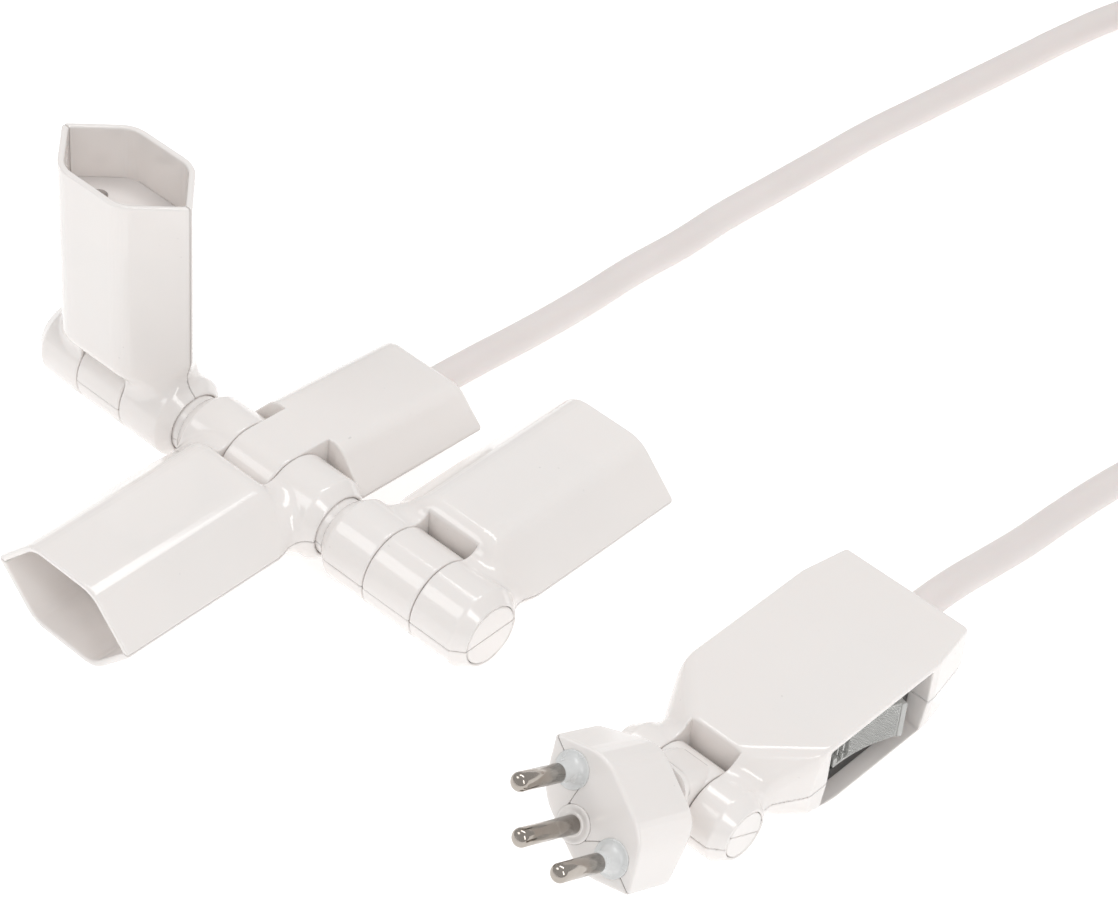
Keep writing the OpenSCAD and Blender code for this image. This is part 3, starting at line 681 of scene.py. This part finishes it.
def make_head(step):
    for part, side in (("upper", 1), ("lower", -1)):
        low, high = (-17, -13, -0.2 if side > 0 else -9.5), (17, 9, 9.5 if side > 0 else 0.2)
        surface = surface_of(half_of(knuckle_field, side), low, high, step)
        place_surface(f"plug_knuckle_{part}", surface, KNUCKLE, "plug_knuckle", "shell_plastic",
                      f"knuckle_{part}")

        def half(x, y, z, side=side):
            return both(head_field(x, y, z), SEAM - side * (z - head_seam(x)) * 0.6, SEAM_EDGE)

        low, high = (-17.6, -33, -5.4 if side > 0 else -9), (17.6, -12.6, 9 if side > 0 else 0.3)
        place_surface(f"plug_head_{part}", surface_of(half, low, high, step), HEAD, "plug_head",
                      "shell_plastic", f"head_shell_{part}")


# ---- pins, sleeves and collar, turned about the pins' own direction ----


def turned_surface(profile, segments=48):
    """A closed ring surface: the profile's points are (along -Y, radius), from base to tip."""
    profile = np.array(profile, float)
    angles = np.arange(segments) * math.tau / segments
    points = np.stack([np.outer(profile[:, 1], np.cos(angles)),
                       -np.repeat(profile[:, :1], segments, 1),
                       np.outer(profile[:, 1], np.sin(angles))], -1).reshape(-1, 3)
    quads = []
    for i in range(len(profile) - 1):
        for k in range(segments):
            n = (k + 1) % segments
            here, above = i * segments, (i + 1) * segments
            quads.append((here + k, here + n, above + n, above + k))
    return points, quads


def place_turned(name, profile, spot, slot, *nodes):
    """A turned piece on the head's face, at a spot across and up from the face's middle."""
    points, quads = turned_surface(profile)
    place = HEAD @ at(spot[0], -HEAD_REACH, spot[1])
    mesh = bpy.data.meshes.new(name)
    mesh.from_pydata([tuple(place @ Vector(p) * MM) for p in points], [], quads)
    mesh.polygons.foreach_set("use_smooth", np.ones(len(quads), bool))
    piece = settle(bpy.data.objects.new(name, mesh), "plug_head", slot, *nodes)
    weld = piece.modifiers.new("weld", "WELD")
    weld.merge_threshold = 0.00001
    smooth_edges = piece.modifiers.new("edges", "EDGE_SPLIT")
    smooth_edges.split_angle = math.radians(50)


def arc(centre, radius, first, last, steps=8):
    """Points of an arc in a turned profile: (along, radius)."""
    for k in range(steps + 1):
        angle = math.radians(first + (last - first) * k / steps)
        yield (centre[0] + radius * math.cos(angle), centre[1] + radius * math.sin(angle))


PIN_R, PIN_LEN, SLEEVE_LEN = 2.0, 19.0, 4.9


def make_pins():
    """Three pins, each with its own foot: a ring for the earth pin, a flared sleeve for the other two."""
    tip = [*arc((PIN_LEN - 1.5, PIN_R - 1.5), 1.5, 90, 0), (PIN_LEN, 0.001)]
    for name, spot in PIN_PLACES.items():
        start = 0.3 if name == "earth" else SLEEVE_LEN
        shank = [(-8, 0.001), (-8, 1.5), (start, 1.5), (start, PIN_R - 0.12), (start + 0.12, PIN_R)]
        place_turned(f"{name}_pin", shank + tip, spot, "pin_metal", f"pin_{name}")
        if name == "earth":
            collar = [(-4.9, 1.5), (-4.9, 4.0), (-0.1, 4.0), *arc((0.0, 3.7), 0.3, 90, 0, 4),
                      (0.3, 3.2), (0.15, 3.0), (0.15, 2.5), (0.4, 2.3), (0.4, 1.5), (-4.9, 1.5)]
            place_turned("earth_ring", collar, spot, "shell_plastic", "earth_collar")
        else:
            sleeve = [(-4.9, 1.5), (-4.9, 4.05), (0.0, 4.05), *arc((0.0, 3.75), 0.3, 90, 0, 4), (0.35, 3.2),
                      (0.8, 2.75), (1.7, 2.3), (2.8, 2.08), (SLEEVE_LEN - 0.15, PIN_R),
                      (SLEEVE_LEN, PIN_R - 0.15), (SLEEVE_LEN, 1.5), (-4.9, 1.5)]
            place_turned(f"{name}_sleeve", sleeve, spot, "pin_sleeve", f"sleeve_{name}")


# ---- carried-over CAD nodes: inner pieces, face inserts and grommets ----


def dress_cad_nodes():
    """Gives each CAD node the material that the record names for it."""
    slots = {part["node"]: part["material_slot"] for part in frame["record"]["subparts"]}
    for name, node in frame["nodes"].items():
        node.data.materials.clear()
        node.data.materials.append(MATERIALS[slots[name]])


# ---- stage: a pale floor and soft lights ----

FLOOR_HALF, FLOOR_DROP = 3.0, 0.0003
FLOOR_GLOW = 0.40
ROOM_LIGHT = 0.56
LIGHTS_AIM = Vector((0.05, 0.02, 0))
# Name, place, width, height and power of each soft box
SOFT_BOXES = (
    ("key", (-0.50, -0.65, 0.85), 0.45, 0.45, 1.5),
    ("top", (-0.10, 0.40, 1.20), 1.0, 0.30, 4.4),
    ("side", (0.95, -0.30, 0.75), 0.22, 0.7, 2.4),
)


def make_stage():
    """A pale light table under and behind the object, a dim white room and a few soft boxes."""
    floor = bpy.data.meshes.new("floor")
    corners = [(x * FLOOR_HALF, y * FLOOR_HALF, 0) for x, y in ((-1, -1), (1, -1), (1, 1), (-1, 1))]
    floor.from_pydata(corners, [], [(0, 1, 2, 3)])
    floor = bpy.data.objects.new("floor", floor)
    floor.location.z = -FLOOR_DROP
    bpy.context.scene.collection.objects.link(floor)
    s = Shader("floor").set(Roughness=0.9, Specular_IOR_Level=0.2, Emission_Strength=FLOOR_GLOW)
    s.surface.inputs["Emission Color"].default_value = (1, 1, 1, 1)
    s.feed("Base Color", s.ramp(s.noise(3.0), [(0.3, (0.90, 0.90, 0.90)), (0.7, (0.93, 0.93, 0.93))]))
    floor.data.materials.append(s.material)
    world = bpy.data.worlds.new("studio")
    world.use_nodes = True
    world.node_tree.nodes["Background"].inputs["Color"].default_value = (1.0, 1.0, 1.0, 1)
    world.node_tree.nodes["Background"].inputs["Strength"].default_value = ROOM_LIGHT
    bpy.context.scene.world = world
    bpy.context.scene.view_settings.view_transform = "Standard"
    for name, place, width, height, power in SOFT_BOXES:
        data = bpy.data.lights.new(name, "AREA")
        data.shape = "RECTANGLE"
        data.size, data.size_y, data.energy = width, height, power
        light = bpy.data.objects.new(name, data)
        light.location = place
        light.rotation_mode = "QUATERNION"
        light.rotation_quaternion = (LIGHTS_AIM - Vector(place)).to_track_quat("-Z", "Y")
        bpy.context.scene.collection.objects.link(light)


SHELL_STEP = 0.4

dress_cad_nodes()
cord = make_cord()
make_sockets(SHELL_STEP)
make_rear(SHELL_STEP)
make_axle(SHELL_STEP)
make_plug_body(SHELL_STEP)
make_switch()
make_head(SHELL_STEP * 0.85)
make_pins()
make_stage()
